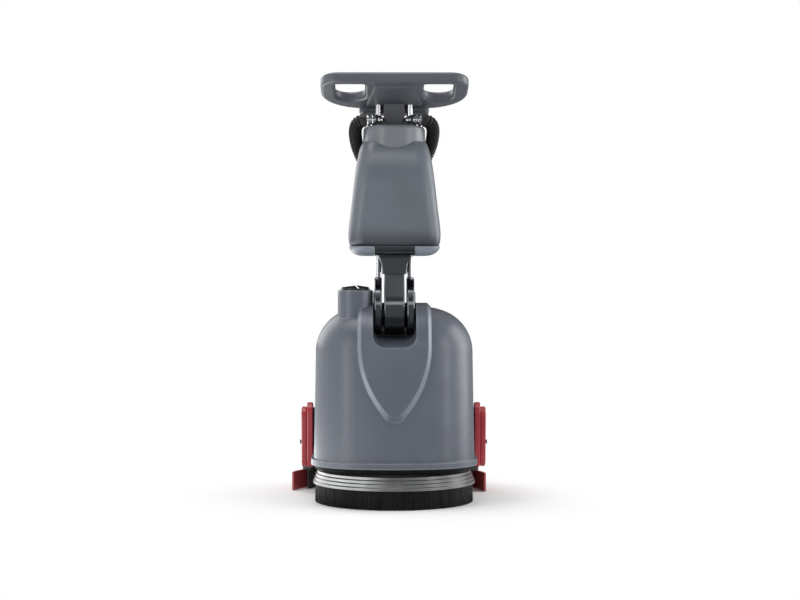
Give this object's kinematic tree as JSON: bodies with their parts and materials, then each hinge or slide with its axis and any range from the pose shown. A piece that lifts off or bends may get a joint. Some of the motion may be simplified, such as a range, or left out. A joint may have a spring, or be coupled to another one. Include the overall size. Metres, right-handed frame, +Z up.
{
  "type": "floor scrubber",
  "caption": "Compact walk-behind floor scrubber: disc brush under a rounded tank base, leaning column with recovery tank, ribbed hoses and handle, trailing squeegee.",
  "frame": {"origin": "on the floor, in the machine's mirror plane, about midway between the front of the base and the back of the squeegee", "axes": "+Z up, the front of the machine faces -Y, +X to the right in the front view"},
  "size_m": [0.4481, 0.5311, 0.9256],
  "materials": {
    "body_grey": "satin rotomoulded plastic",
    "lid_grey": "satin moulded plastic",
    "tank_grey": "satin blow-moulded plastic",
    "column_grey": "textured moulded plastic",
    "spine_grey": "powder coat",
    "rail_grey": "powder coat",
    "handle_grey": "fine grained plastic",
    "console_black": "fine grained plastic",
    "cap_black": "moulded plastic",
    "chassis_black": "black powder coat",
    "deck_metal": "polished casting",
    "bristle_black": "nylon strands",
    "hub_black": "glass-filled nylon",
    "motor_steel": "plain steel",
    "battery_black": "moulded case",
    "shelf_steel": "powder coat",
    "controller_metal": "ribbed casting",
    "valve_black": "moulded plastic",
    "socket_black": "moulded plastic",
    "axle_steel": "zinc-plated steel",
    "bracket_black": "black oxide",
    "tube_chrome": "bright chrome",
    "wheel_grey": "moulded plastic",
    "tyre_rubber": "non-marking rubber",
    "seal_rubber": "soft rubber",
    "hose_black": "ribbed hose",
    "red_metal": "crimson powder coat",
    "pipe_black": "moulded plastic",
    "squeegee_black": "black coat",
    "blade_red": "red gum rubber",
    "blade_black": "black gum rubber",
    "knob_steel": "stainless",
    "gauge_green": "display window",
    "button_green": "moulded key",
    "button_blue": "moulded key",
    "button_grey": "moulded key",
    "key_black": "key bow"
  },
  "bodies": {
    "base": {"solution_tank": "body_grey", "filler_neck": "body_grey", "rear_cover": "body_grey", "charge_socket": "socket_black", "vacuum_port": "cap_black", "hose_rest": "cap_black", "chassis": "chassis_black", "brush_deck": "deck_metal", "brush_gearmotor": "motor_steel", "battery": "battery_black", "equipment_shelf": "shelf_steel", "vacuum_motor": "motor_steel", "controller": "controller_metal", "water_valve": "valve_black", "axle": "axle_steel", "axle_nuts": "axle_steel", "hinge_bracket": "bracket_black", "hinge_bolt": "bracket_black", "left_side_plate": "red_metal", "right_side_plate": "red_metal", "lift_bolts": "bracket_black"},
    "brush": {"brush_bristles": "bristle_black", "brush_block": "bristle_black", "drive_hub": "hub_black"},
    "left_wheel": {"left_wheel_hub": "wheel_grey", "left_wheel_tyre": "tyre_rubber"},
    "right_wheel": {"right_wheel_hub": "wheel_grey", "right_wheel_tyre": "tyre_rubber"},
    "lift_frame": {"left_lift_arm": "red_metal", "right_lift_arm": "red_metal", "cross_bar": "red_metal", "suction_pipe": "pipe_black", "squeegee_hose": "hose_black"},
    "squeegee": {"squeegee_body": "squeegee_black", "front_blade": "blade_black", "rear_blade": "blade_red", "blade_straps": "squeegee_black", "squeegee_knobs": "knob_steel"},
    "column": {"knuckle": "column_grey", "column_collar": "column_grey", "tube_sockets": "column_grey", "column_tubes": "tube_chrome", "column_spine": "spine_grey", "tank_rail": "rail_grey", "hose_clip": "cap_black", "suction_manifold": "cap_black", "hose_fittings": "tube_chrome", "handle_frame": "handle_grey", "console_cover": "console_black", "battery_gauge": "gauge_green", "suction_hose": "hose_black", "vacuum_hose": "hose_black"},
    "tank": {"recovery_tank": "tank_grey", "tank_lid": "lid_grey", "dock_seals": "seal_rubber"},
    "filler_cap": {"filler_cap": "cap_black"},
    "brush_button": {"brush_button": "button_green"},
    "vacuum_button": {"vacuum_button": "button_grey"},
    "water_button": {"water_button": "button_blue"},
    "key": {"key_switch": "key_black"}
  },
  "joints": [
    {"name": "brush_spin", "type": "hinge", "parent": "base", "child": "brush", "pos_m": [0, -0.09, 0.05], "axis": [0, 0, 1], "continuous": true},
    {"name": "left_wheel_spin", "type": "hinge", "parent": "base", "child": "left_wheel", "pos_m": [-0.098, 0.114, 0.045], "axis": [1, 0, 0], "continuous": true},
    {"name": "right_wheel_spin", "type": "hinge", "parent": "base", "child": "right_wheel", "pos_m": [0.098, 0.114, 0.045], "axis": [1, 0, 0], "continuous": true},
    {"name": "squeegee_lift", "type": "hinge", "parent": "base", "child": "lift_frame", "pos_m": [0, 0.03, 0.118], "axis": [1, 0, 0], "range_deg": [0, 14], "deforming": ["squeegee_hose"]},
    {"name": "squeegee_swivel", "type": "hinge", "parent": "lift_frame", "child": "squeegee", "pos_m": [0, 0.235, 0.05], "axis": [0, 0, 1], "range_deg": [-5.3, 12.7]},
    {"name": "column_tilt", "type": "hinge", "parent": "base", "child": "column", "pos_m": [0, -0.15, 0.43], "axis": [-1, 0, 0], "range_deg": [0, 35], "deforming": ["suction_hose", "vacuum_hose"]},
    {"name": "tank_slide", "type": "slide", "parent": "column", "child": "tank", "axis": [0, -1, 0], "range_m": [0, 0.15]},
    {"name": "cap_lift", "type": "slide", "parent": "base", "child": "filler_cap", "axis": [0, 0, 1], "range_m": [0, 0.05]},
    {"name": "brush_button_press", "type": "slide", "parent": "column", "child": "brush_button", "axis": [0, -0.2113, -0.9774], "range_m": [0, 0.002], "stiffness_N_per_m": 400, "springref_m": -0.002},
    {"name": "vacuum_button_press", "type": "slide", "parent": "column", "child": "vacuum_button", "axis": [0, -0.2113, -0.9774], "range_m": [0, 0.002], "stiffness_N_per_m": 400, "springref_m": -0.002},
    {"name": "water_button_press", "type": "slide", "parent": "column", "child": "water_button", "axis": [0, -0.2113, -0.9774], "range_m": [0, 0.002], "stiffness_N_per_m": 400, "springref_m": -0.002},
    {"name": "key_turn", "type": "hinge", "parent": "column", "child": "key", "pos_m": [0.026, -0.12899, 0.9081], "axis": [0, 0.2113, 0.9774], "range_deg": [0, 90]}
  ]
}
